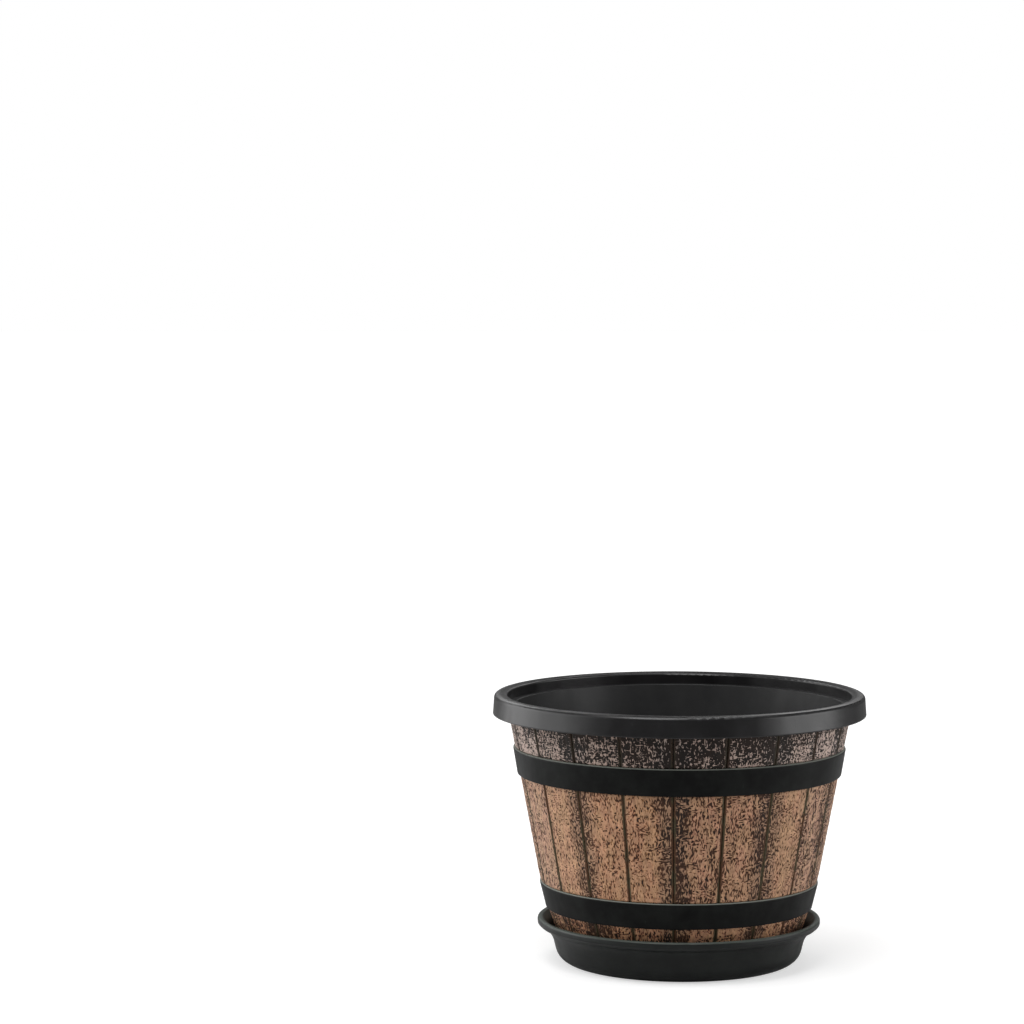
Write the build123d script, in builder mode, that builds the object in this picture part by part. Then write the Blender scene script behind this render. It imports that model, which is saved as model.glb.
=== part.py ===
from build123d import *
import os
from math import cos, degrees, hypot, radians, sin, sqrt, tan

# Whiskey barrel planter: a tapered pot dressed with staves and hoops, standing in its saucer.
# Millimetres. Z is the pot's axis, the ground is z = 0 and the front is -Y.

# Rim: a deep rolled band that caps the pot
rim_diameter = 381.0
rim_width = 14.8
rim_height = 21.3
rim_wall = 2.8
rim_crown = 2.0
rim_leg_height = 10.3
rim_corner_radius = 4.0
rim_mouth_radius = 2.0
skirt_flare = 1.4
skirt_edge_radius = 1.1
snap_bead_depth = 1.0
snap_bead_height = 2.4

# Barrel wall, measured on the staves' outer faces
overall_height = 276.0
rim_overhang = 14.9
wall_lean = 10.76
knee_height = 100.0
bend_radius = 386.0

# Staves
stave_count = 20
stave_thickness = 4.0
stave_gap = 0.6
stave_edge_radius = 1.2
first_joint_angle = -94.7

# Inner pot
bucket_wall = 2.2
bucket_floor = 3.0
flange_thickness = 2.5
flange_edge_radius = 1.0
foot_ring_height = 5.0
foot_ring_width = 5.0
foot_ring_inset = 14.0
floor_corner_radius = 6.0
drain_diameter = 14.0
drain_circle_radius = 62.0
outer_drain_count = 4

# Hoops
upper_hoop_drop = 54.2
upper_hoop_width = 27.6
upper_hoop_top_stand = 1.8
upper_hoop_foot_stand = 2.4
lower_hoop_rise = 57.3
lower_hoop_width = 26.6
lower_hoop_top_stand = 1.2
lower_hoop_foot_stand = 1.9
hoop_seat_depth = 1.8
hoop_top_radius = 1.8
hoop_foot_radius = 0.8
hoop_seam = 0.8

# Saucer
saucer_floor = 3.0
saucer_wall = 3.0
saucer_height = 45.6
saucer_room = 4.9
saucer_lean = 13.74
saucer_corner_radius = 17.2
flare_rise = 24.6
flare_reach = 16.7
lip_depth = 2.7
lip_height = 5.7
lip_shoulder = 2.5
lip_radius = 2.3
lip_width = 5.2
rib_count = 8
rib_height = 4.0
rib_width = 3.0
rib_length = 50.0

# Clearances
fit_gap = 0.3
hoop_gap = 0.2

# Heights from the ground up
rib_top = saucer_floor + rib_height
foot_bottom = rib_top + fit_gap
floor_underside = foot_bottom + foot_ring_height
floor_top = floor_underside + bucket_floor
shoulder_height = overall_height - rim_crown
skirt_bottom = overall_height - rim_height
flange_top = shoulder_height - rim_leg_height
flange_underside = flange_top - flange_thickness
stave_top = flange_underside - fit_gap

# Radii of the rim
rim_radius = rim_diameter / 2
mouth_radius = rim_radius - rim_width
barrel_top_radius = rim_radius - rim_overhang

# The barrel's straight wall bends inwards below the knee, on an arc that it meets without a corner
lean = radians(wall_lean)
knee_radius = barrel_top_radius - (stave_top - knee_height) * tan(lean)
bend_centre_radius = knee_radius - bend_radius * cos(lean)
bend_centre_height = knee_height + bend_radius * sin(lean)
bucket_depth = stave_thickness + fit_gap
bucket_inner_depth = bucket_depth + bucket_wall


def knee_point(depth):
    """The knee of the wall's line once the line is sunk by a depth below the staves' faces."""
    return (knee_radius - depth * cos(lean), knee_height + depth * sin(lean))


def wall_radius(height, depth=0.0):
    """The radius of the wall's line at a height, sunk by a depth below the staves' faces."""
    radius, knee = knee_point(depth)
    if height >= knee:
        return radius + (height - knee) * tan(lean)
    reach = bend_radius - depth
    return bend_centre_radius + sqrt(reach**2 - (bend_centre_height - height) ** 2)


def wall_line(depth, bottom, top):
    """Draws the wall's line between two heights and gives its bottom and top points."""
    knee = knee_point(depth)
    foot = (wall_radius(bottom, depth), bottom)
    head = (wall_radius(top, depth), top)
    TangentArc(knee, foot, tangent=(-sin(lean), -cos(lean)))
    Line(knee, head)
    return foot, head


def radial_plane(angle):
    """An upright plane through the axis, with its x pointing outwards at an angle about Z."""
    turn = radians(angle)
    return Plane(origin=(0, 0, 0), x_dir=(cos(turn), sin(turn), 0), z_dir=(sin(turn), -cos(turn), 0))


def corner(section, point):
    """The corner of a section that lies nearest a point."""
    return section.vertices().sort_by_distance((*point, 0))[0]


def save(part, name):
    """Labels a finished piece and writes its file."""
    part.label = name
    export_step(part, f"parts/{name}.step")


# Hoops, as (bottom height, top height, how far the foot stands out, how far the top stands out)
upper_hoop_top = overall_height - upper_hoop_drop
hoops = {
    "upper_hoop": (
        upper_hoop_top - upper_hoop_width, upper_hoop_top, upper_hoop_foot_stand, upper_hoop_top_stand
    ),
    "lower_hoop": (
        lower_hoop_rise, lower_hoop_rise + lower_hoop_width, lower_hoop_foot_stand, lower_hoop_top_stand
    ),
}


def seat_outline(bottom, top, foot_stand, top_stand):
    """The section of the shallow groove that a hoop lies in, cut across the staves' outer faces."""
    low = bottom - fit_gap
    high = top + hoop_seam
    return (
        (wall_radius(low) - hoop_seat_depth, low),
        (wall_radius(low) + foot_stand, low),
        (wall_radius(high) + top_stand, high),
        (wall_radius(high) - hoop_seat_depth, high),
    )


os.makedirs("parts", exist_ok=True)

# Saucer: a round tray whose wall leans out and flares into a rolled lip, with ribs that carry the pot
saucer_slope = tan(radians(saucer_lean))
saucer_skin = saucer_wall / cos(radians(saucer_lean))
saucer_outside = wall_radius(floor_top) + saucer_room + saucer_skin - floor_top * saucer_slope
saucer_inside = saucer_outside - saucer_skin
flare_start = saucer_height - flare_rise
inner_flare_start = flare_start + saucer_wall * sin(radians(saucer_lean))
lip_outer_radius = saucer_outside + flare_start * saucer_slope + flare_reach
base_corner = (saucer_outside, 0)
floor_corner = (saucer_inside + saucer_floor * saucer_slope, saucer_floor)
flare_foot = (saucer_outside + flare_start * saucer_slope, flare_start)
flare_end = (lip_outer_radius - lip_depth, saucer_height - lip_height - lip_shoulder)
lip_foot = (lip_outer_radius, saucer_height - lip_height)
lip_top = (lip_outer_radius, saucer_height)
lip_inside = (lip_outer_radius - lip_width, saucer_height)
inner_flare_foot = (saucer_inside + inner_flare_start * saucer_slope, inner_flare_start)
rib_end = wall_radius(floor_top) - foot_ring_inset + foot_ring_width
with BuildPart() as saucer:
    with BuildSketch(Plane.XZ) as saucer_section:
        with BuildLine():
            Polyline((0, saucer_floor), (0, 0), base_corner, flare_foot)
            TangentArc(flare_foot, flare_end, tangent=(saucer_slope, 1))
            Polyline(flare_end, lip_foot, lip_top, lip_inside)
            TangentArc(inner_flare_foot, lip_inside, tangent=(saucer_slope, 1))
            Polyline(inner_flare_foot, floor_corner, (0, saucer_floor))
        make_face()
        fillet(corner(saucer_section, base_corner), radius=saucer_corner_radius)
        fillet(corner(saucer_section, floor_corner), radius=saucer_corner_radius - saucer_wall)
        for place in (lip_foot, lip_top, lip_inside):
            fillet(corner(saucer_section, place), radius=lip_radius)
    revolve(axis=Axis.Z)
    with BuildSketch(Plane.XY.offset(saucer_floor)):
        with PolarLocations(rib_end - rib_length / 2, rib_count):
            Rectangle(rib_length, rib_width)
    extrude(amount=rib_height)
save(saucer.part, "saucer")

# Inner pot: the wall behind the staves, the ledge they stand on, the foot ring and the top flange
ledge_radius = wall_radius(floor_top)
skirt_inside_radius = rim_radius - rim_wall - skirt_flare
flange_radius = skirt_inside_radius - fit_gap
foot_ring_radius = ledge_radius - foot_ring_inset
with BuildPart() as bucket:
    with BuildSketch(Plane.XZ) as bucket_section:
        with BuildLine():
            outer_foot, outer_head = wall_line(bucket_depth, floor_top, flange_underside)
            inner_foot, inner_head = wall_line(bucket_inner_depth, floor_top, flange_top)
            Polyline(
                outer_head,
                (flange_radius, flange_underside),
                (flange_radius, flange_top),
                inner_head,
            )
            Polyline(
                inner_foot,
                (0, floor_top),
                (0, floor_underside),
                (ledge_radius, floor_underside),
                (ledge_radius, floor_top),
                outer_foot,
            )
        make_face()
        fillet(corner(bucket_section, inner_foot), radius=floor_corner_radius)
        fillet(corner(bucket_section, inner_head), radius=flange_edge_radius)
    revolve(axis=Axis.Z)
    with BuildSketch(Plane.XY.offset(foot_bottom)):
        Circle(foot_ring_radius + foot_ring_width)
        Circle(foot_ring_radius, mode=Mode.SUBTRACT)
    extrude(amount=foot_ring_height)
    with Locations(Plane.XY.offset(floor_top)):
        Hole(drain_diameter / 2, depth=bucket_floor)
        with PolarLocations(drain_circle_radius, outer_drain_count):
            Hole(drain_diameter / 2, depth=bucket_floor)
save(bucket.part, "bucket")

# Rim: an inverted channel that stands on the flange, with a bead that holds under the flange
channel_top = shoulder_height - rim_wall
skirt_top_radius = rim_radius - skirt_flare
rim_shoulder = (skirt_top_radius, shoulder_height)
rim_mouth = (mouth_radius, shoulder_height)
leg_foot = (mouth_radius + rim_wall, flange_top)
skirt_foot = (rim_radius, skirt_bottom)
skirt_inner_foot = (rim_radius - rim_wall, skirt_bottom)
channel_corner = (skirt_top_radius - rim_wall, channel_top)
bead_top = flange_underside - fit_gap
skirt_slope = skirt_flare / (shoulder_height - skirt_bottom)


def skirt_inner_radius(height):
    """The radius of the skirt's inner face at a height."""
    return rim_radius - rim_wall - (height - skirt_bottom) * skirt_slope


with BuildPart() as rim:
    with BuildSketch(Plane.XZ) as rim_section:
        with BuildLine():
            Line(skirt_foot, rim_shoulder)
            ThreePointArc(rim_shoulder, ((skirt_top_radius + mouth_radius) / 2, overall_height), rim_mouth)
            Polyline(
                rim_mouth,
                (mouth_radius, flange_top),
                leg_foot,
                (mouth_radius + rim_wall, channel_top),
                channel_corner,
                skirt_inner_foot,
                skirt_foot,
            )
        make_face()
        fillet(corner(rim_section, rim_shoulder), radius=rim_corner_radius)
        fillet(corner(rim_section, rim_mouth), radius=rim_mouth_radius)
        fillet(corner(rim_section, channel_corner), radius=rim_corner_radius - rim_wall)
        for place in (skirt_foot, skirt_inner_foot):
            fillet(corner(rim_section, place), radius=skirt_edge_radius)
        with BuildLine():
            Polyline(
                (skirt_inner_radius(bead_top), bead_top),
                (skirt_inner_radius(bead_top) - snap_bead_depth, bead_top - snap_bead_height / 3),
                (skirt_inner_radius(bead_top) - snap_bead_depth, bead_top - snap_bead_height / 2),
                (skirt_inner_radius(bead_top - snap_bead_height), bead_top - snap_bead_height),
                close=True,
            )
        make_face()
    revolve(axis=Axis.Z)
save(rim.part, "rim")

# Hoops: flat bands with a rounded top edge, lying in the staves' grooves
for hoop_name, (bottom, top, foot_stand, top_stand) in hoops.items():
    inner_sink = hoop_seat_depth - hoop_gap
    hoop_foot = (wall_radius(bottom) + foot_stand, bottom)
    hoop_top = (wall_radius(top) + top_stand, top)
    with BuildPart() as hoop:
        with BuildSketch(Plane.XZ) as hoop_section:
            with BuildLine():
                Polyline(
                    (wall_radius(bottom) - inner_sink, bottom),
                    hoop_foot,
                    hoop_top,
                    (wall_radius(top) - inner_sink, top),
                    close=True,
                )
            make_face()
            fillet(corner(hoop_section, hoop_top), radius=hoop_top_radius)
            fillet(corner(hoop_section, hoop_foot), radius=hoop_foot_radius)
        revolve(axis=Axis.Z)
    save(hoop.part, hoop_name)

# Staves: each fills its share of the circle but for the joint, and its long outer edges are eased
stave_step = 360 / stave_count
joint_angle = degrees(stave_gap / barrel_top_radius)


def is_long_outer_edge(edge):
    """Whether an edge runs up the stave along its outer face."""
    middle = edge.position_at(0.5)
    rise = abs(edge.position_at(0).Z - edge.position_at(1).Z)
    return rise > stave_thickness and hypot(middle.X, middle.Y) > wall_radius(middle.Z, stave_thickness / 2)


for number in range(stave_count):
    edge_angle = first_joint_angle + number * stave_step + joint_angle / 2
    with BuildPart() as stave:
        with BuildSketch(radial_plane(edge_angle)):
            with BuildLine():
                face_foot, face_head = wall_line(0, floor_top, stave_top)
                back_foot, back_head = wall_line(stave_thickness, floor_top, stave_top)
                Line(face_head, back_head)
                Line(face_foot, back_foot)
            make_face()
        revolve(axis=Axis.Z, revolution_arc=stave_step - joint_angle)
        fillet(stave.edges().filter_by(is_long_outer_edge), radius=stave_edge_radius)
        with BuildSketch(Plane.XZ):
            for hoop_place in hoops.values():
                with BuildLine():
                    Polyline(*seat_outline(*hoop_place), close=True)
                make_face()
        revolve(axis=Axis.Z, mode=Mode.SUBTRACT)
    save(stave.part, f"stave_{number + 1:02d}")
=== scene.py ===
import random
from collections import namedtuple
from math import atan2, cos, hypot, pi, radians, sin, sqrt

import bpy
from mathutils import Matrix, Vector, noise
from mathutils.bvhtree import BVHTree


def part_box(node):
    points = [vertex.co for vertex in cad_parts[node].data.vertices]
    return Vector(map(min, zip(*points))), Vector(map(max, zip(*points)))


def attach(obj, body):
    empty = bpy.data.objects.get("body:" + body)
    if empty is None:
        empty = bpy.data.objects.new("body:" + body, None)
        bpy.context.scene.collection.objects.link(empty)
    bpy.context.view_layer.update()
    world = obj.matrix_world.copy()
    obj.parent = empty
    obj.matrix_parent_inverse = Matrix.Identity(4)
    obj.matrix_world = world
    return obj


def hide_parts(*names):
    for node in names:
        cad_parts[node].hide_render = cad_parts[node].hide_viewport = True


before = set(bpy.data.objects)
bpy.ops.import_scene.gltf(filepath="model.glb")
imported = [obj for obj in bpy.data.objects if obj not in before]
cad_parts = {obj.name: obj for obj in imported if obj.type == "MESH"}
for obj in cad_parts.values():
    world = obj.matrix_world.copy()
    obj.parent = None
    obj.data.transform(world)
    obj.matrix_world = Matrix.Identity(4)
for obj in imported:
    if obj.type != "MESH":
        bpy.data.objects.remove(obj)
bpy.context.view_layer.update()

# Saucer
# A round drip tray, injection moulded in one shot of near-black resin with a faint green cast.
# Its skin is satin, with the fine orange peel of the mould and vertical scuffs from being drawn off it.


def colour(red, green, blue):
    """A paint-chart colour, 0 to 255 a channel, as the linear colour that a shader takes."""
    channels = [value / 255 for value in (red, green, blue)]
    linear = [c / 12.92 if c <= 0.04045 else ((c + 0.055) / 1.055) ** 2.4 for c in channels]
    return (*linear, 1.0)


def new_material(name):
    """An empty material, as (material, node tree, its shader)."""
    material = bpy.data.materials.new(name)
    material.use_nodes = True
    tree = material.node_tree
    tree.nodes.clear()
    shader = tree.nodes.new("ShaderNodeBsdfPrincipled")
    output = tree.nodes.new("ShaderNodeOutputMaterial")
    tree.links.new(shader.outputs["BSDF"], output.inputs["Surface"])
    return material, tree, shader


def plug(tree, socket, value):
    """Sets an input socket to a value, or links it from another node's output."""
    if isinstance(value, bpy.types.NodeSocket):
        tree.links.new(value, socket)
    else:
        socket.default_value = value


def maths(tree, operation, *values):
    """The result of one arithmetic step."""
    node = tree.nodes.new("ShaderNodeMath")
    node.operation = operation
    for socket, value in zip(node.inputs, values):
        plug(tree, socket, value)
    return node.outputs["Value"]


def stretch(tree, place, scale):
    """A place scaled by a different amount along each axis."""
    node = tree.nodes.new("ShaderNodeVectorMath")
    node.operation = "MULTIPLY"
    plug(tree, node.inputs[0], place)
    plug(tree, node.inputs[1], scale)
    return node.outputs["Vector"]


def cloud(tree, place, size, detail=2.0, roughness=0.5):
    """Soft noise from 0 to 1, whose lumps are about a size across in metres."""
    node = tree.nodes.new("ShaderNodeTexNoise")
    plug(tree, node.inputs["Vector"], place)
    plug(tree, node.inputs["Scale"], 1 / size)
    plug(tree, node.inputs["Detail"], detail)
    plug(tree, node.inputs["Roughness"], roughness)
    return node.outputs["Fac"]


def ramp(tree, value, low, high, start=0.0, end=1.0):
    """A value eased from start to end as it goes from low to high."""
    node = tree.nodes.new("ShaderNodeMapRange")
    node.interpolation_type = "SMOOTHSTEP"
    plug(tree, node.inputs["Value"], value)
    plug(tree, node.inputs["From Min"], low)
    plug(tree, node.inputs["From Max"], high)
    plug(tree, node.inputs["To Min"], start)
    plug(tree, node.inputs["To Max"], end)
    return node.outputs["Result"]


def blend_colours(tree, share, first, second):
    """Two colours mixed by a share of the second."""
    node = tree.nodes.new("ShaderNodeMix")
    node.data_type = "RGBA"
    plug(tree, node.inputs[0], share)
    plug(tree, node.inputs[6], first)
    plug(tree, node.inputs[7], second)
    return node.outputs[2]


def relief(tree, shader, height, depth):
    """Gives a shader a bumpy skin from a height of 0 to 1 and the depth that it stands for, in metres."""
    node = tree.nodes.new("ShaderNodeBump")
    plug(tree, node.inputs["Height"], height)
    node.inputs["Distance"].default_value = depth
    tree.links.new(node.outputs["Normal"], shader.inputs["Normal"])


mottle_size = 0.022
flow_size = 0.03
scuff_width = 0.0016
speck_size = 0.0011
peel_size = 0.0014
ripple_size = 0.012
mottle_share = 0.1
scuff_share = 0.14
speck_share = 0.1
peel_share = 0.15
ripple_share = 0.1
skin_depth = 0.00022


def upward_highlight_mask(tree, place, lowest):
    """1 on skin that faces up and lies above a height, and 0 elsewhere: where the painted highlight goes.
    """
    facing = tree.nodes.new("ShaderNodeSeparateXYZ")
    tree.links.new(tree.nodes.new("ShaderNodeNewGeometry").outputs["Normal"], facing.inputs[0])
    level = tree.nodes.new("ShaderNodeSeparateXYZ")
    tree.links.new(place, level.inputs[0])
    high_enough = ramp(tree, level.outputs["Z"], lowest, lowest + 0.003)
    return maths(tree, "MULTIPLY", ramp(tree, facing.outputs["Z"], 0.25, 0.85), high_enough)


def resin(name, body, worn, gloss, reflectance, painted_highlight=None, highlight_from=0.0):
    """Moulded black resin: its body colour, the colour of its scuffs, its roughness and its reflectance.
    Skin that faces upwards above a height can be given a paler colour, a painted highlight."""
    material, tree, shader = new_material(name)
    place = tree.nodes.new("ShaderNodeTexCoord").outputs["Object"]
    mottle = cloud(tree, place, mottle_size, detail=5.0, roughness=0.6)
    flow = cloud(tree, stretch(tree, place, (1.0, 1.0, 0.25)), flow_size, detail=3.0)

    # The scuffs run upright, the way that the mould was drawn off
    scuffs = cloud(tree, stretch(tree, place, (1.0, 1.0, 0.07)), scuff_width, detail=3.0, roughness=0.65)
    scuffed = maths(tree, "MULTIPLY", ramp(tree, scuffs, 0.58, 0.74), ramp(tree, mottle, 0.45, 0.65))
    specks = ramp(tree, cloud(tree, place, speck_size, detail=2.0), 0.66, 0.78)
    mottled = ramp(tree, mottle, 0.3, 0.7, 0.0, mottle_share)
    shade = maths(tree, "MULTIPLY_ADD", scuffed, scuff_share, mottled)
    shade = maths(tree, "MULTIPLY_ADD", specks, speck_share, shade)
    tint = blend_colours(tree, shade, body, worn)
    # Upward-facing skin above a height takes a painted highlight colour
    if painted_highlight is not None:
        tint = blend_colours(tree, upward_highlight_mask(tree, place, highlight_from), tint, painted_highlight)
    tree.links.new(tint, shader.inputs["Base Color"])

    rough = ramp(tree, flow, 0.3, 0.7, gloss - 0.05, gloss + 0.06)
    tree.links.new(maths(tree, "MULTIPLY_ADD", scuffed, 0.12, rough), shader.inputs["Roughness"])
    shader.inputs["Specular IOR Level"].default_value = reflectance

    peel = cloud(tree, place, peel_size, detail=3.0, roughness=0.55)
    ripple = cloud(tree, place, ripple_size, detail=2.0)
    height = maths(tree, "MULTIPLY_ADD", peel, peel_share, maths(tree, "MULTIPLY", ripple, ripple_share))
    relief(tree, shader, maths(tree, "MULTIPLY_ADD", scuffed, -peel_share, height), skin_depth)
    return material


def finish_node(node, material):
    """Gives a node of the frame one material all over."""
    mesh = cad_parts[node].data
    mesh.materials.clear()
    mesh.materials.append(material)


saucer_body = colour(11, 14, 13)
saucer_worn = colour(60, 66, 62)
saucer_lip_highlight = colour(74, 80, 75)
# The lip's upward-facing top is painted paler, a painted highlight
saucer_resin = resin("saucer_resin", saucer_body, saucer_worn, 0.4, 0.3,
                     painted_highlight=saucer_lip_highlight, highlight_from=0.037)
finish_node("saucer", saucer_resin)

# Bucket
# The black inner pot that holds the soil, moulded in one shot with its floor, drain holes, foot ring and
# flange. Its inside is duller than the parts that show, and scuffed from filling.

bucket_resin = resin("bucket_resin", colour(16, 16, 17), colour(60, 59, 58), 0.52, 0.35)
finish_node("bucket", bucket_resin)

# Staves
# Twenty tapered boards of foamed resin, moulded with a deep worm-eaten grain. They are painted near-black,
# and copper-brown paint is rubbed over what stands proud, greyer over the upper hoop and redder under the
# lower one. They stand on the bucket's ledge, a hairline apart.

board_pitch = 0.0011
board_rise = 0.0014
edge_round = 0.0017
edge_round_share = 0.85
edge_columns = (0.0, 0.00025, 0.0006, 0.0011, 0.0017)
seat_below = 0.0003
seat_above = 0.0008
seat_step = 0.00004
carve_depth = 0.00055
sway_depth = 0.00035
joint_paint = 0.0019
joint_fade = 0.0007
dark_reach = 0.4
dark_shape = 0.65
dark_loss = 0.4
cover_drift = 0.12
least_cover = 0.05
most_cover = 0.97
# The fall in cover under the rim is partly painted shade, and the gain beside the hoops is a painted
# highlight
under_rim_thinning_and_shade = 0.22
hoop_edge_highlight_gain = 0.22
hoop_edge_highlight_reach = 0.0026
russet_share = 0.6
board_offset = 5.0
print_offset = 0.37

orange_paint = colour(192, 134, 92)
tan_paint = colour(188, 144, 109)
pink_paint = colour(186, 134, 107)
mauve_paint = colour(170, 143, 129)
russet_paint = colour(184, 116, 76)

Board = namedtuple("Board", "paint took took_above took_below dark_left dark_right")

# Each board's paint, how much of it took between the hoops, above them and below them, and how dark its
# edges were left. The boards at the back are dealt at random.
boards = {
    16: Board(mauve_paint, 0.62, 0.62, 0.4, 0.2, 0.2),
    17: Board(mauve_paint, 0.84, 0.62, 0.4, 0.1, 0.2),
    18: Board(tan_paint, 0.88, 0.5, 0.4, 0.05, 0.8),
    19: Board(orange_paint, 0.87, 0.38, 0.56, 0.7, 0.1),
    20: Board(orange_paint, 0.82, 0.34, 0.66, 0.05, 0.9),
    1: Board(pink_paint, 0.66, 0.26, 0.76, 0.85, 0.1),
    2: Board(pink_paint, 0.74, 0.34, 0.78, 0.05, 1.0),
    3: Board(tan_paint, 0.88, 0.5, 0.76, 0.95, 0.35),
    4: Board(mauve_paint, 0.76, 0.6, 0.5, 0.4, 1.0),
    5: Board(mauve_paint, 0.66, 0.55, 0.4, 0.5, 0.2),
}
board_draw = random.Random(20)
for number in range(6, 16):
    boards[number] = Board(
        board_draw.choice((orange_paint, tan_paint, pink_paint, mauve_paint)),
        board_draw.uniform(0.7, 0.86),
        board_draw.uniform(0.35, 0.6),
        board_draw.uniform(0.4, 0.7),
        board_draw.uniform(0.05, 0.75),
        board_draw.uniform(0.05, 0.75),
    )

upper_hoop_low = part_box("upper_hoop")[0][2]
upper_hoop_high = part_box("upper_hoop")[1][2]
lower_hoop_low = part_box("lower_hoop")[0][2]
lower_hoop_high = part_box("lower_hoop")[1][2]
rim_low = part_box("rim")[0][2]


def surface_radius(tree, angle, height, outside):
    """How far a board's outer or inner face is from the pot's axis, at an angle and a height."""
    direction = Vector((cos(angle), sin(angle), 0))
    if outside:
        hit = tree.ray_cast(direction * 0.5 + Vector((0, 0, height)), -direction)[0]
    else:
        hit = tree.ray_cast(Vector((0, 0, height)), direction)[0]
    return hypot(hit.x, hit.y)


def board_heights(low, high):
    """The heights of a board's rows: close where it shows, and only at the steps under a hoop."""
    heights = [low]
    steps = (
        (lower_hoop_low - seat_below, lower_hoop_high + seat_above),
        (upper_hoop_low - seat_below, upper_hoop_high + seat_above),
    )
    start = low
    for seat_low, seat_high in (*steps, (high, None)):
        count = round((seat_low - start) / board_rise)
        last = seat_low if seat_high is None else seat_low - seat_step
        heights += [start + (last - start) * (row + 1) / count for row in range(count)]
        if seat_high is not None:
            heights += [seat_low + seat_step, seat_high - seat_step, seat_high + seat_step]
            start = seat_high + seat_step
    return heights


def board_columns(width):
    """Distances across a board's face from its left edge: close together over the rounded edges."""
    inner = width - 2 * edge_columns[-1]
    count = round(inner / board_pitch)
    middle = [edge_columns[-1] + inner * column / count for column in range(1, count)]
    return [*edge_columns, *middle, *(width - edge for edge in reversed(edge_columns))]


def grain_relief(arc, height, seed):
    """The carved grain at a place on a board, from 0 in a pit to 1 on a ridge.
    Worm tracks, about 3 mm wide, wander between finer upright strokes."""
    wander = 0.002 * noise.noise((arc * 90, height * 60, seed))
    worms = noise.noise(((arc + wander) * 330, height * 190, seed))
    strokes = noise.noise((arc * 620, height * 70, seed + 7.3))
    return min(1.0, max(0.0, 0.5 + 0.75 * worms + 0.45 * strokes))


def edge_darkness(share, height, board, seed):
    """How dark a board was left, from 0 to 1, at a share of the way across it."""
    ragged = 0.1 * noise.noise((share * 2.2, height * 30, seed + 3.1))
    left = board.dark_left * max(0.0, 1 - (share + ragged) / dark_reach) ** dark_shape
    right = board.dark_right * max(0.0, 1 - (1 - share + ragged) / dark_reach) ** dark_shape
    return min(1.0, max(left, right))


def paint_cover_and_light(share, height, board, darkness, seed):
    """How much of the rubbed paint took at a share of the way across a board, with painted light mixed in.
    Beside the hoops a painted highlight raises it. Up under the rim it falls, partly as thinner paint and
    partly as painted shade from the rim."""
    took = board.took
    if height > upper_hoop_high:
        # Up under the rim the cover falls, partly as thinner paint and partly as painted shade from the
        # rim
        rise = (height - upper_hoop_high) / (rim_low - upper_hoop_high)
        took = board.took_above - under_rim_thinning_and_shade * rise
    if height < lower_hoop_low:
        took = board.took_below
    # Lighter paint beside the hoop edges is a painted highlight on the stave edges there
    hoop_edges = (upper_hoop_high, upper_hoop_low, lower_hoop_high, lower_hoop_low)
    nearest = min(abs(height - edge) for edge in hoop_edges)
    took += hoop_edge_highlight_gain * max(0.0, 1 - nearest / hoop_edge_highlight_reach)
    cover_and_light = took - dark_loss * darkness + cover_drift * noise.noise((share * 3, height * 22, seed + 5.7))
    return min(most_cover, max(least_cover, cover_and_light))


def board_paint(paint, height):
    """A board's paint at a height: redder under the lower hoop."""
    if height < lower_hoop_low:
        return [(1 - russet_share) * own + russet_share * red for own, red in zip(paint, russet_paint)]
    return list(paint)


def edge_rounding(edge):
    """How far a board's rounded edge falls back, at a distance from the edge."""
    if edge >= edge_round:
        return 0.0
    return edge_round - sqrt(edge_round**2 - (edge_round - edge) ** 2)


def board_mesh(name, points, rows, loop):
    """A closed mesh from rows of points. Each row is a loop that ends with two points on the back."""
    faces = []
    for row in range(rows - 1):
        here = row * loop
        for column in range(loop):
            beside = (column + 1) % loop
            faces.append((here + column, here + beside, here + loop + beside, here + loop + column))
    faces.append(tuple(reversed(range(loop))))
    faces.append(tuple(range((rows - 1) * loop, rows * loop)))
    mesh = bpy.data.meshes.new(name)
    mesh.from_pydata(points, [], faces)
    smooth = [index % loop < loop - 3 for index in range(len(faces) - 2)] + [False, False]
    mesh.polygons.foreach_set("use_smooth", smooth)
    return mesh


def store(mesh, name, kind, field, values):
    """Stores a value on each point of a mesh, for its paint to read."""
    mesh.attributes.new(name, kind, "POINT").data.foreach_set(field, values)


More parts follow.
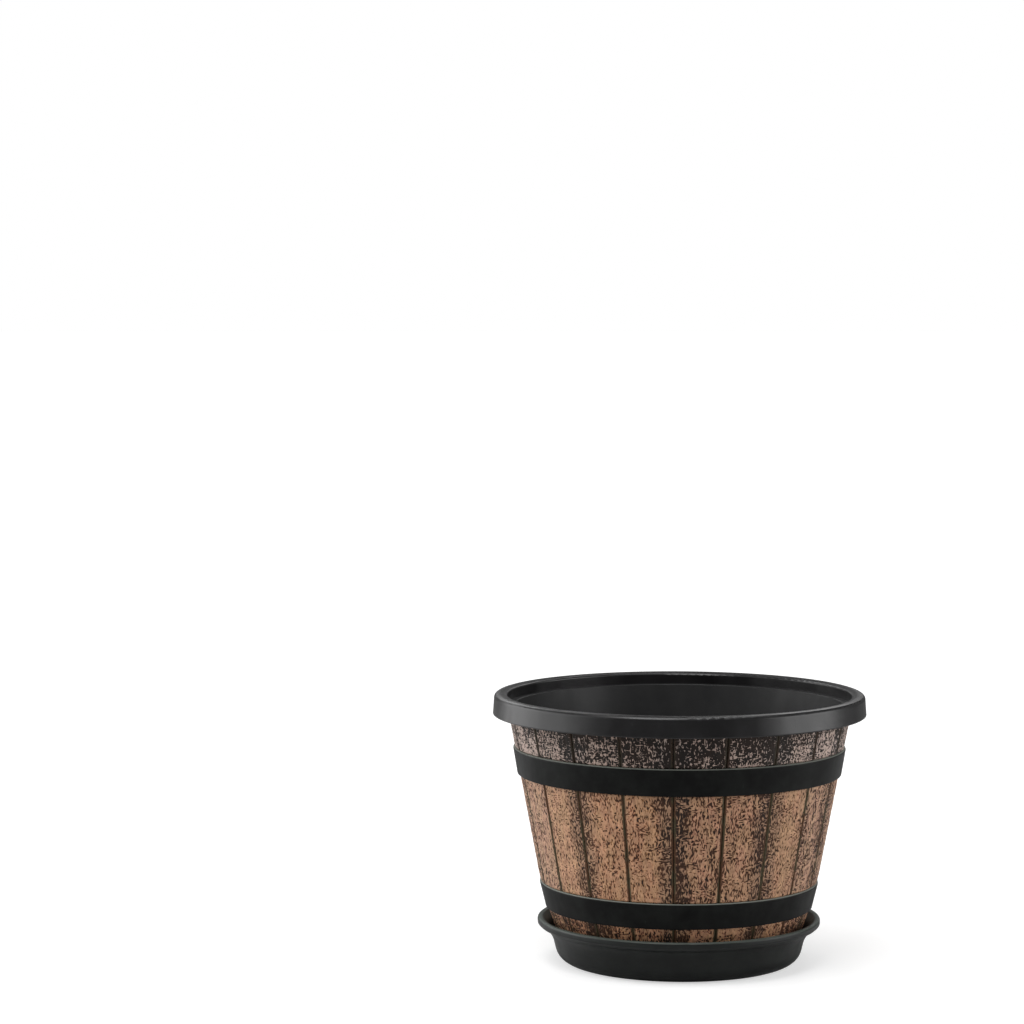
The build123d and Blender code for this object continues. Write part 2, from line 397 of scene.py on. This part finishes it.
def carve_board(number):
    """One board as a closed mesh that fills its place in the frame, with its grain cut into its face."""
    node = f"stave_{number:02d}"
    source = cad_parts[node].data
    solid = BVHTree.FromPolygons([v.co for v in source.vertices], [p.vertices for p in source.polygons])
    middle = sum((v.co for v in source.vertices), Vector())
    angle = atan2(middle.y, middle.x)
    turns = [atan2(v.co.y, v.co.x) - angle for v in source.vertices]
    half = max(abs((turn + pi) % (2 * pi) - pi) for turn in turns)
    low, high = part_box(node)
    heights = board_heights(low[2], high[2])
    widest = 2 * half * surface_radius(solid, angle, heights[-1] - seat_step, True)
    columns = board_columns(widest)
    board = boards[number]
    seed = number * board_offset
    points, places, covers_and_light, grains, joints, paints, dulls = [], [], [], [], [], [], []
    for height in heights:
        probe = min(max(height, low[2] + seat_step), high[2] - seat_step)
        face = surface_radius(solid, angle, probe, True)
        back = surface_radius(solid, angle, probe, False)
        narrow = 2 * half * face / widest
        coat = board_paint(board.paint, height)
        for place in columns:
            share = place / widest
            edge = min(place, widest - place) * narrow
            grain = grain_relief(place, height, seed)
            sway = 0.5 + 0.5 * noise.noise((place * 60, height * 18, seed + 2.0))
            cut = edge_round_share * edge_rounding(edge) + carve_depth * (1 - grain) + sway_depth * sway
            radius = face - cut
            turn = angle - half + 2 * half * share
            darkness = edge_darkness(share, height, board, seed)
            points.append((radius * cos(turn), radius * sin(turn), height))
            places += (place, height, number * print_offset)
            paints += coat
            dulls.append(darkness)
            covers_and_light.append(paint_cover_and_light(share, height, board, darkness, seed))
            grains.append(grain)
            joints.append(max(0.0, min(1.0, (joint_paint - edge) / joint_fade + 0.5)))
        for turn in (angle + half, angle - half):
            points.append((back * cos(turn), back * sin(turn), height))
            places += (0.0, height, number * print_offset)
            paints += coat
            dulls.append(1.0)
            covers_and_light.append(least_cover)
            grains.append(0.0)
            joints.append(1.0)

    mesh = board_mesh(f"board_{number:02d}", points, len(heights), len(columns) + 2)
    store(mesh, "place", "FLOAT_VECTOR", "vector", places)
    store(mesh, "cover_and_light", "FLOAT", "value", covers_and_light)
    store(mesh, "grain", "FLOAT", "value", grains)
    store(mesh, "dull", "FLOAT", "value", dulls)
    store(mesh, "joint", "FLOAT", "value", joints)
    store(mesh, "paint", "FLOAT_COLOR", "color", paints)
    mesh.update()
    piece = bpy.data.objects.new(f"carved_stave_{number:02d}", mesh)
    bpy.context.scene.collection.objects.link(piece)
    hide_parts(node)
    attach(piece, "pot")
    return piece


def attribute(tree, name, output):
    """A value that is stored on the mesh."""
    node = tree.nodes.new("ShaderNodeAttribute")
    node.attribute_name = name
    return node.outputs[output]


stroke_size = 0.0013
crossing_size = 0.011
column_size = 0.0025
row_size = 0.003
cluster_size = 0.013
hue_size = 0.012
thin_size = 0.0034
stain_size = 0.007
leans_per_metre = 115.0
lean_reach = (0.0036, 0.002, 0.0)
column_pull = 0.3
row_pull = 0.2
cluster_pull = 0.22
carving_pull = 0.1
usual_pull = 0.41
bare_level = 0.64
cover_pull = 0.29
stroke_edge = 0.03
grey_share = 0.72
lattice_drop = 0.045
evening = 0.45
grain_depth = 0.0008

pink_cast = colour(190, 124, 98)
olive_cast = colour(170, 134, 88)
grimy_red = colour(92, 66, 55)
grimy_olive = colour(98, 72, 50)
ridge_highlight_copper = colour(216, 172, 138)
thin_copper = colour(94, 66, 51)
bare_grey = colour(186, 170, 163)
pit_brown = colour(62, 38, 24)
pit_black = colour(40, 27, 20)
pit_stain = colour(112, 74, 52)
pit_over_hoop = colour(27, 25, 23)
seam_rust = colour(84, 56, 36)
seam_olive = colour(74, 66, 46)
seam_over_hoop = colour(40, 34, 28)


def lean(tree, place):
    """A place pushed about by noise, so that strokes drawn from it lean and curl."""
    push = tree.nodes.new("ShaderNodeTexNoise")
    tree.links.new(place, push.inputs["Vector"])
    push.inputs["Scale"].default_value = leans_per_metre
    push.inputs["Detail"].default_value = 1.0
    moved = tree.nodes.new("ShaderNodeVectorMath")
    moved.operation = "MULTIPLY_ADD"
    tree.links.new(push.outputs["Color"], moved.inputs[0])
    moved.inputs[1].default_value = lean_reach
    tree.links.new(place, moved.inputs[2])
    return moved.outputs["Vector"]


def rubbed_paint():
    """Near-black grain with copper-brown paint rubbed over it, worn through in specks, worms and rows."""
    material, tree, shader = new_material("rubbed_board_paint")
    place = attribute(tree, "place", "Vector")
    # The cover holds the rubbed paint, with painted shade under the rim and a painted highlight beside the
    # hoops
    cover_and_light = attribute(tree, "cover_and_light", "Fac")
    carved = attribute(tree, "grain", "Fac")
    paint = attribute(tree, "paint", "Color")
    joint = attribute(tree, "joint", "Fac")
    dull = attribute(tree, "dull", "Fac")
    level = tree.nodes.new("ShaderNodeSeparateXYZ")
    tree.links.new(place, level.inputs[0])
    over_hoop = ramp(tree, level.outputs["Y"], upper_hoop_high - 0.001, upper_hoop_high, 0.0, grey_share)

    # Most strokes stand upright, and lie level in patches
    bent = lean(tree, place)
    upright = cloud(tree, stretch(tree, bent, (1.0, 0.38, 1.0)), stroke_size, detail=0.6)
    flat = cloud(tree, stretch(tree, bent, (0.4, 1.1, 1.0)), stroke_size, detail=0.6)
    patches = cloud(tree, stretch(tree, place, (0.6, 1.0, 1.0)), crossing_size, detail=1.0)
    lying = ramp(tree, patches, 0.54, 0.6)
    standing = maths(tree, "MULTIPLY", upright, maths(tree, "SUBTRACT", 1.0, lying))
    strokes = maths(tree, "MULTIPLY_ADD", flat, lying, standing)

    # Over the upper hoop, upright and level strokes cross in a lattice
    lattice = maths(tree, "SUBTRACT", maths(tree, "MAXIMUM", upright, flat), strokes)
    lattice = maths(tree, "SUBTRACT", lattice, lattice_drop)
    strokes = maths(tree, "MULTIPLY_ADD", lattice, over_hoop, strokes)

    # The strokes gather in columns, rows and clusters, and more evenly over the upper hoop
    columns = cloud(tree, stretch(tree, bent, (1.0, 0.08, 1.0)), column_size, detail=1.0)
    rows = cloud(tree, stretch(tree, place, (0.1, 1.0, 1.0)), row_size, detail=1.0)
    clusters = cloud(tree, stretch(tree, place, (1.0, 0.6, 1.0)), cluster_size, detail=2.0)
    gathered = maths(tree, "MULTIPLY_ADD", columns, column_pull, maths(tree, "MULTIPLY", rows, row_pull))
    gathered = maths(tree, "MULTIPLY_ADD", clusters, cluster_pull, gathered)
    gathered = maths(tree, "MULTIPLY_ADD", carved, carving_pull, gathered)
    uneven = maths(tree, "MULTIPLY_ADD", columns, 0.5, maths(tree, "MULTIPLY", clusters, 0.5))
    evener = maths(tree, "MULTIPLY", maths(tree, "SUBTRACT", 0.5, uneven), over_hoop)
    gathered = maths(tree, "MULTIPLY_ADD", evener, evening, gathered)
    field = maths(tree, "ADD", strokes, maths(tree, "SUBTRACT", gathered, usual_pull))

    # The rubbed paint takes where the grain stands above a level, which is lower where more paint took
    threshold = maths(tree, "MULTIPLY_ADD", cover_and_light, -cover_pull, bare_level)
    above = maths(tree, "SUBTRACT", field, threshold)
    taken = ramp(tree, above, -stroke_edge, stroke_edge)
    taken = maths(tree, "MULTIPLY", taken, maths(tree, "SUBTRACT", 1.0, joint))

    # The paint drifts from pink to olive and is grimy at a board's dark edges. On ridges it is painted
    #     brightest, a painted highlight
    hue = cloud(tree, stretch(tree, place, (1.0, 0.4, 1.0)), hue_size, detail=3.0)
    pink = blend_colours(tree, 0.4, paint, pink_cast)
    olive = blend_colours(tree, 0.45, paint, olive_cast)
    warm = blend_colours(tree, ramp(tree, hue, 0.4, 0.6), pink, olive)
    grimy = blend_colours(tree, ramp(tree, hue, 0.38, 0.62), grimy_red, grimy_olive)
    coat = blend_colours(tree, ramp(tree, dull, 0.0, 0.7), warm, grimy)
    # A painted highlight lightens the paint on its ridges
    coat = blend_colours(tree, ramp(tree, above, 0.02, 0.12, 0.0, 0.6), coat, ridge_highlight_copper)
    thinness = cloud(tree, stretch(tree, place, (1.0, 0.45, 1.0)), thin_size, detail=4.0, roughness=0.65)
    coat = blend_colours(tree, ramp(tree, thinness, 0.3, 0.72, 0.5, 0.0), coat, thin_copper)
    coat = blend_colours(tree, over_hoop, coat, bare_grey)

    # The pits stay near-black, and are stained brown where much paint took
    stain = cloud(tree, stretch(tree, place, (1.0, 0.5, 1.0)), stain_size, detail=2.0)
    much_paint = ramp(tree, cover_and_light, 0.5, 0.85, 0.0, 0.5)
    stained = maths(tree, "MULTIPLY", ramp(tree, stain, 0.42, 0.66), much_paint)
    pit = blend_colours(tree, ramp(tree, clusters, 0.42, 0.6), pit_brown, pit_black)
    pit = blend_colours(tree, stained, pit, pit_stain)
    pit = blend_colours(tree, over_hoop, pit, pit_over_hoop)
    seam = blend_colours(tree, ramp(tree, hue, 0.42, 0.58), seam_rust, seam_olive)
    seam = blend_colours(tree, over_hoop, seam, seam_over_hoop)
    ground = blend_colours(tree, joint, pit, seam)
    tree.links.new(blend_colours(tree, taken, ground, coat), shader.inputs["Base Color"])
    tree.links.new(ramp(tree, taken, 0.0, 1.0, 0.66, 0.52), shader.inputs["Roughness"])
    shader.inputs["Specular IOR Level"].default_value = 0.25
    ridges = maths(tree, "MULTIPLY", ramp(tree, above, -0.1, 0.08), 0.8)
    relief(tree, shader, maths(tree, "MULTIPLY_ADD", thinness, 0.3, ridges), grain_depth)
    return material


board_finish = rubbed_paint()
for number in sorted(boards):
    carve_board(number).data.materials.append(board_finish)

# Hoops
# Two flat bands of matte black resin that lie in the staves' grooves, as iron hoops would on a real
# barrel. Their rounded top edges are painted paler, a painted highlight.

hoop_body = colour(7, 7, 7)
hoop_worn = colour(66, 71, 67)
hoop_edge_highlight = colour(128, 131, 124)
# The hoops' rounded top edges get a painted highlight colour
hoop_resin = resin("hoop_resin", hoop_body, hoop_worn, 0.5, 0.11, painted_highlight=hoop_edge_highlight, highlight_from=0.05)
finish_node("upper_hoop", hoop_resin)
finish_node("lower_hoop", hoop_resin)

# Rim
# The deep rolled band that snaps over the bucket's flange and hides the staves' ends. It is charcoal
# resin with a satin skin that takes broad, soft reflections.

rim_resin = resin("rim_resin", colour(12, 11, 12), colour(60, 58, 61), 0.33, 0.45)
finish_node("rim", rim_resin)

# Studio
# A pale floor that carries on to a white surround, a wide softbox on each side, one high in front, one
# overhead and three weak ones behind that catch the rim, and the camera at the photograph's angle.

floor_reach = 30.0
floor_grey = (0.6, 0.6, 0.6, 1)
white = (1, 1, 1, 1)
near_lift = 0.55
lift_from = 0.3
white_from = 2.5


def pale_floor(name):
    """A pale surface that keeps the object's shadow, and looks whiter the farther off it is."""
    material, tree, shader = new_material(name)
    shader.inputs["Base Color"].default_value = floor_grey
    shader.inputs["Roughness"].default_value = 0.9
    shader.inputs["Specular IOR Level"].default_value = 0.1
    shader.inputs["Emission Color"].default_value = white
    place = tree.nodes.new("ShaderNodeTexCoord").outputs["Object"]
    span = tree.nodes.new("ShaderNodeVectorMath")
    span.operation = "LENGTH"
    tree.links.new(place, span.inputs[0])
    lift = ramp(tree, span.outputs["Value"], lift_from, white_from, near_lift, 1.0)
    seen = tree.nodes.new("ShaderNodeLightPath").outputs["Is Camera Ray"]
    tree.links.new(maths(tree, "MULTIPLY", seen, lift), shader.inputs["Emission Strength"])
    return material


floor_mesh = bpy.data.meshes.new("studio_floor")
floor_corners = [(-floor_reach, -floor_reach, 0), (floor_reach, -floor_reach, 0),
                 (floor_reach, floor_reach, 0), (-floor_reach, floor_reach, 0)]
floor_mesh.from_pydata(floor_corners, [], [(0, 1, 2, 3)])
floor_mesh.materials.append(pale_floor("studio_white"))
floor = bpy.data.objects.new("studio_floor", floor_mesh)
bpy.context.scene.collection.objects.link(floor)

pot_middle = Vector((0, 0, 0.14))


def softbox(name, azimuth, distance, height, width, tall, power):
    """A white softbox at an azimuth from the front, positive to the right, aimed at the pot."""
    lamp = bpy.data.lights.new(name, "AREA")
    lamp.shape = "RECTANGLE"
    lamp.size = width
    lamp.size_y = tall
    lamp.energy = power
    holder = bpy.data.objects.new(name, lamp)
    turn = radians(azimuth)
    holder.location = (distance * sin(turn), -distance * cos(turn), height)
    holder.rotation_euler = (pot_middle - holder.location).to_track_quat("-Z", "Y").to_euler()
    bpy.context.scene.collection.objects.link(holder)


softbox("left_softbox", -98, 1.6, 0.6, 2.3, 1.2, 22)
softbox("right_softbox", 79, 1.7, 0.6, 1.5, 1.2, 18)
softbox("back_left_softbox", -158, 1.7, 1.3, 0.7, 0.9, 5)
softbox("back_right_softbox", 160, 1.7, 1.35, 0.6, 0.9, 3.5)
softbox("back_softbox", 180, 2.3, 0.7, 2.0, 0.5, 0.3)
softbox("front_softbox", -25, 1.3, 2.1, 1.2, 1.0, 24)
softbox("overhead_softbox", 0, 0.2, 1.9, 1.4, 0.7, 12)

surround_strength = 0.16
world = bpy.data.worlds.new("studio_surround")
world.use_nodes = True
surround = world.node_tree
surround.nodes.clear()
sky = surround.nodes.new("ShaderNodeBackground")
sky_output = surround.nodes.new("ShaderNodeOutputWorld")
sky.inputs["Color"].default_value = white
ray = surround.nodes.new("ShaderNodeLightPath").outputs["Is Camera Ray"]
surround.links.new(ramp(surround, ray, 0.0, 1.0, surround_strength, 1.0), sky.inputs["Strength"])
surround.links.new(sky.outputs["Background"], sky_output.inputs["Surface"])
bpy.context.scene.world = world

lens_length = 121.27
camera_place = (-0.17087, -3.5, 0.7184)
camera_tilt = 85.792
lens = bpy.data.cameras.new("camera")
lens.sensor_width = 36.0
lens.lens = lens_length
camera = bpy.data.objects.new("camera", lens)
camera.location = camera_place
camera.rotation_euler = (radians(camera_tilt), 0, 0)
bpy.context.scene.collection.objects.link(camera)
bpy.context.scene.camera = camera
bpy.context.scene.view_settings.view_transform = "Standard"
